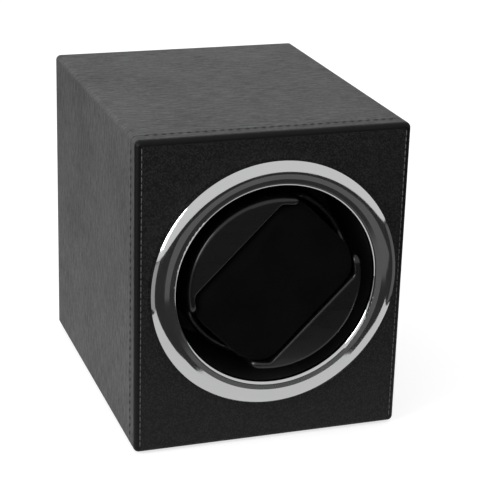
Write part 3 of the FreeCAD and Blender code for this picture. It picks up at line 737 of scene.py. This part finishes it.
# Rear controls. A moulded plate carries a fluted program knob, a direction slider and the power
# inlet. White printed ticks mark the knob's steps, its pointer and the slider's three places.
control_dark = (0.007, 0.007, 0.007, 1.0)
control_light = (0.018, 0.018, 0.018, 1.0)
control_plastic = moulded_plastic("control_plastic", control_dark, control_light, 1600.0, 0.42)
dress(control_plastic, "control_plate", "program_knob", "direction_slider")
dress(ground_steel, "knob_spindle")
print_dark = (0.5, 0.5, 0.49, 1.0)
print_light = (0.72, 0.72, 0.7, 1.0)
print_white = moulded_plastic("print_white", print_dark, print_light, 2500.0, 0.6)
ink = 0.06 * mm
tick_length = 1.8 * mm
tick_width = 0.45 * mm
knob_reach = 120
knob_step = 30
knob_tick_gap = 2.6 * mm
slider_tick_rise = 4.2 * mm
slider_step = 2.0 * mm
pointer_length = 3.4 * mm
pointer_width = 0.9 * mm
pointer_share = 0.62
plate_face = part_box("control_plate")[1].y
knob_low, knob_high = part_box("program_knob")
knob_middle = (knob_low + knob_high) / 2
knob_radius = (knob_high.x - knob_low.x) / 2
slider_middle = (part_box("direction_slider")[0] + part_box("direction_slider")[1]) / 2


def printed_ticks(name, ticks, face):
    """Thin raised print: each tick has a middle, a direction, a length and a width."""
    shape = bmesh.new()
    for middle, way, length, width in ticks:
        side = Vector((-way.y, way.x))
        corners = []
        for a, b in ((-1, -1), (1, -1), (1, 1), (-1, 1)):
            spot = middle + way * (a * length / 2) + side * (b * width / 2)
            corners.append(shape.verts.new((spot.x, face, spot.y)))
        flat = shape.faces.new(corners)
        raised = bmesh.ops.extrude_face_region(shape, geom=[flat])["geom"]
        for vertex in [g for g in raised if isinstance(g, bmesh.types.BMVert)]:
            vertex.co.y += ink
    bmesh.ops.recalc_face_normals(shape, faces=shape.faces)
    mesh = bpy.data.meshes.new(name)
    shape.to_mesh(mesh)
    shape.free()
    mesh.materials.append(print_white)
    return mesh


ticks = []
for degrees in range(-knob_reach, knob_reach + 1, knob_step):
    turn = math.radians(90 - degrees)
    way = Vector((math.cos(turn), math.sin(turn)))
    middle = Vector((knob_middle.x, knob_middle.z)) + way * (knob_radius + knob_tick_gap)
    ticks.append((middle, way, tick_length, tick_width))
for place_number in (-1, 0, 1):
    x = slider_middle.x + place_number * slider_step
    middle = Vector((x, slider_middle.z + slider_tick_rise))
    ticks.append((middle, Vector((0, 1)), tick_length, tick_width))
piece("control_marks", printed_ticks("control_marks", ticks, plate_face), "case")

pointer_middle = Vector((knob_middle.x, knob_middle.z + pointer_share * knob_radius))
pointer = [(pointer_middle, Vector((0, 1)), pointer_length, pointer_width)]
piece("knob_pointer", printed_ticks("knob_pointer", pointer, knob_high.y), "knob")

# Base. A felt sheet under the case keeps it from marking the shelf. It is pressed black wool felt,
# glued on.
felt_dark = (0.006, 0.006, 0.007, 1.0)
felt_light = (0.025, 0.025, 0.027, 1.0)
felt_scale = 1500.0
felt_relief = 0.2 * mm
black_felt, place = fresh_material("black_felt")
fuzz = noise(place, felt_scale, 5.0)
finish_with(
    place,
    Base_Color=tint(step(fuzz, 0.3, 0.7), felt_dark, felt_light),
    Roughness=0.9 + 0.08 * fuzz,
    Normal=bump(fuzz, felt_relief),
)
dress(black_felt, "base_felt")

# Studio. The box stands on a white floor under an even sky, with one soft light to its left. In
# reflections the floor is a pale sheet in a dark room, with grey cards in front and to both sides,
# and what it throws back on the case's sides is a dim grey.
floor_white = (0.45, 0.45, 0.45, 1.0)
floor_glow = 0.68
bounce_grey = (0.1, 0.1, 0.1, 1.0)
sky_strength = 0.9
sheet_half = 0.162
sheet_front = 0.172
sheet_glow = 0.84
room_glow = 0.035
front_glow = 0.14
left_glow = 0.45
right_glow = 0.14
card_low = (-0.02, -0.55)
card_high = (0.32, -0.265)
side_reach = 2.5
side_width = 0.6
left_start = 0.115
right_start = 0.105
left_turn = math.radians(37.3)
right_turn = math.radians(-10.0)
light_spot = (-1.05, -0.38, 0.52)
light_aim = (0.0, 0.0, 0.12)
light_size = 0.6
light_power = 8.5
black = (0.0, 0.0, 0.0, 1.0)


def stage_plane(name, low, high, height, material):
    """Flat rectangle of the stage between two corners in plan."""
    shape = bmesh.new()
    spots = ((low[0], low[1]), (high[0], low[1]), (high[0], high[1]), (low[0], high[1]))
    shape.faces.new([shape.verts.new((x, y, height)) for x, y in spots])
    mesh = bpy.data.meshes.new(name)
    shape.to_mesh(mesh)
    shape.free()
    mesh.materials.append(material)
    plane = bpy.data.objects.new(name, mesh)
    bpy.context.scene.collection.objects.link(plane)
    return plane


def card_finish(name, shade, glow):
    """Matt card of one shade that gives off a little light of its own."""
    material, place = fresh_material(name)
    finish_with(
        place,
        Base_Color=shade,
        Roughness=0.9,
        Specular_IOR_Level=0.0,
        Emission_Color=(1.0, 1.0, 1.0, 1.0),
        Emission_Strength=glow,
    )
    return material


def only_in_gloss(card):
    """Keeps a card out of everything but reflections."""
    card.visible_camera = False
    card.visible_diffuse = False
    card.visible_shadow = False
    card.visible_transmission = False


reach = 6.0
lift = 1.5 * mm
bounce_drop = 0.5 * mm
white_card = card_finish("floor_white", floor_white, floor_glow)
floor = stage_plane("floor", (-reach, -reach), (reach, reach), 0.0, white_card)
floor.visible_diffuse = False
dim_card = card_finish("bounce_grey", bounce_grey, 0.0)
bounce = stage_plane("bounce", (-reach, -reach), (reach, reach), -bounce_drop, dim_card)
bounce.visible_camera = False
bounce.visible_glossy = False
near_sheet = card_finish("near_sheet", black, sheet_glow)
room_dark = card_finish("room_dark", black, room_glow)
front_grey = card_finish("front_grey", black, front_glow)
left_grey = card_finish("left_grey", black, left_glow)
right_grey = card_finish("right_grey", black, right_glow)
gloss_cards = (
    ("sheet", (-sheet_half, -sheet_front), (sheet_half, reach), 0.5 * lift, near_sheet),
    ("room_left", (-reach, -reach), (-sheet_half, reach), lift, room_dark),
    ("room_right", (sheet_half, -reach), (reach, reach), lift, room_dark),
    ("room_front", (-sheet_half, -reach), (sheet_half, -sheet_front), lift, room_dark),
    ("grey_card", card_low, card_high, 2 * lift, front_grey),
)
for name, low_corner, high_corner, height, material in gloss_cards:
    only_in_gloss(stage_plane(name, low_corner, high_corner, height, material))
ring_low, ring_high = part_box("bezel_ring")
side_cards = (
    ("left_card", (-side_reach, 0.0), (-left_start, side_width), ring_low.x, left_turn, left_grey),
    ("right_card", (right_start, 0.0), (side_reach, side_width), ring_high.x, right_turn, right_grey),
)
for name, low_corner, high_corner, x, turn, material in side_cards:
    card = stage_plane(name, low_corner, high_corner, 2 * lift, material)
    card.location = (x, ring_low.y, 0.0)
    card.rotation_euler = (0.0, 0.0, turn)
    only_in_gloss(card)


def soft_light(name, spot, aim, size, power):
    """Square soft box at a spot, turned towards a point."""
    lamp = bpy.data.lights.new(name, "AREA")
    lamp.size = size
    lamp.energy = power
    light = bpy.data.objects.new(name, lamp)
    light.location = spot
    light.rotation_euler = (Vector(aim) - Vector(spot)).to_track_quat("-Z", "Y").to_euler()
    bpy.context.scene.collection.objects.link(light)


soft_light("left_side", light_spot, light_aim, light_size, light_power)

world = bpy.data.worlds.new("studio")
world.use_nodes = True
world.node_tree.nodes["Background"].inputs["Color"].default_value = (1.0, 1.0, 1.0, 1.0)
world.node_tree.nodes["Background"].inputs["Strength"].default_value = sky_strength
bpy.context.scene.world = world
bpy.context.scene.view_settings.view_transform = "Standard"

# Camera. It stands before the box, to its left and above, and looks slightly down at it, through a
# long lens.
camera_spot = Vector((-0.24324, -0.74005, 0.35799))
camera_way = Vector((0.30522, 0.88786, -0.34432))
camera_roll = math.radians(1.624)
focal_length = 123.74
sensor_width = 36.0
lens = bpy.data.cameras.new("camera")
lens.lens = focal_length
lens.sensor_width = sensor_width
lens.clip_start = 0.01
lens.clip_end = 100.0
camera = bpy.data.objects.new("camera", lens)
camera.location = camera_spot
camera.rotation_mode = "QUATERNION"
camera.rotation_quaternion = camera_way.to_track_quat("-Z", "Y") @ Quaternion((0, 0, 1), camera_roll)
bpy.context.scene.collection.objects.link(camera)
bpy.context.scene.camera = camera
